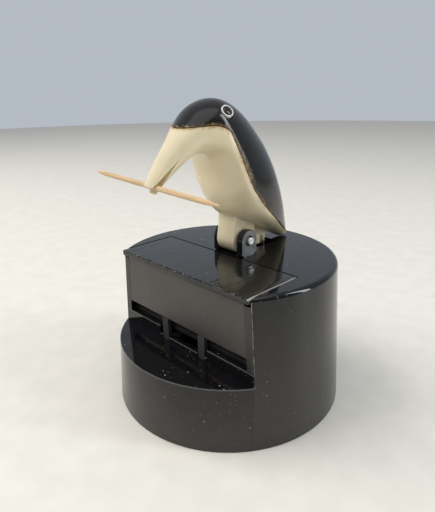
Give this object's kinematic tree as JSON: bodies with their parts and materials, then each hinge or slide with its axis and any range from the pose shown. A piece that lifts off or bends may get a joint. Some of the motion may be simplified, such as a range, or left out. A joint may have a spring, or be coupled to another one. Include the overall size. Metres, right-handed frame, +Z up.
{
  "type": "pecking bird toothpick dispenser",
  "caption": "Round black toothpick box with a stepped front tray and a hinged penguin-like bird that pecks a toothpick from a slot when pushed down.",
  "frame": {"origin": "on the round base's axis, at table level", "axes": "+Z up, the bird and the tray face -Y, the hinge pin lies along X"},
  "size_m": [0.092, 0.092, 0.1167],
  "materials": {
    "black_gloss_plastic": "polished, lightly scratched",
    "black_satin_plastic": "satin, worn along the front edge",
    "black_inner_plastic": "as moulded",
    "cream_plastic": "gloss, slightly yellowed",
    "white_plastic": "gloss",
    "bright_steel": "bright plated",
    "birch_wood": "bare birch"
  },
  "bodies": {
    "base": {"bottom_cover": "black_inner_plastic", "bracket_screw_left": "bright_steel", "bracket_screw_right": "bright_steel", "cover_screw_1": "bright_steel", "cover_screw_2": "bright_steel", "cover_screw_3": "bright_steel", "drum_housing": "black_gloss_plastic", "front_fascia": "black_satin_plastic", "hinge_bracket": "black_gloss_plastic", "hinge_pin": "bright_steel", "hopper": "black_inner_plastic", "hopper_lid": "black_satin_plastic", "hopper_screw_left": "bright_steel", "hopper_screw_right": "bright_steel", "return_spring": "bright_steel", "rocker_shaft": "bright_steel", "shaft_bush_left": "white_plastic", "shaft_bush_right": "white_plastic", "toothpick_01": "birch_wood", "toothpick_02": "birch_wood", "toothpick_03": "birch_wood", "toothpick_04": "birch_wood", "toothpick_05": "birch_wood", "toothpick_06": "birch_wood", "toothpick_07": "birch_wood", "toothpick_08": "birch_wood", "toothpick_09": "birch_wood", "toothpick_10": "birch_wood", "toothpick_11": "birch_wood", "toothpick_12": "birch_wood"},
    "bird": {"beak_toothpick": "birch_wood", "bird_back_shell": "black_gloss_plastic", "bird_front_shell": "cream_plastic", "eye_bead_left": "black_gloss_plastic", "eye_bead_right": "black_gloss_plastic", "eye_ring_left": "white_plastic", "eye_ring_right": "white_plastic"},
    "link": {"pull_link": "bright_steel"},
    "rocker": {"feed_rocker": "cream_plastic"}
  },
  "joints": [
    {"name": "bird_tilt", "type": "hinge", "parent": "base", "child": "bird", "pos_m": [0, 0.0046, 0.0635], "axis": [1, 0, 0], "range_deg": [0, 77], "stiffness_Nm_per_rad": 0.006, "springref_deg": -34.38, "deforming": ["return_spring"]},
    {"name": "rocker_swing", "type": "hinge", "parent": "base", "child": "rocker", "pos_m": [0, -0.008, 0.032], "axis": [1, 0, 0], "range_deg": [0, 36]},
    {"name": "link_swing", "type": "hinge", "parent": "bird", "child": "link", "pos_m": [0, 0.0193, 0.06], "axis": [1, 0, 0], "range_deg": [-66, 0]}
  ],
  "couplings": [
    {"joint": "rocker_swing", "follows": "bird_tilt", "ratio": 0.4458},
    {"joint": "link_swing", "follows": "bird_tilt", "ratio": -0.8132}
  ]
}
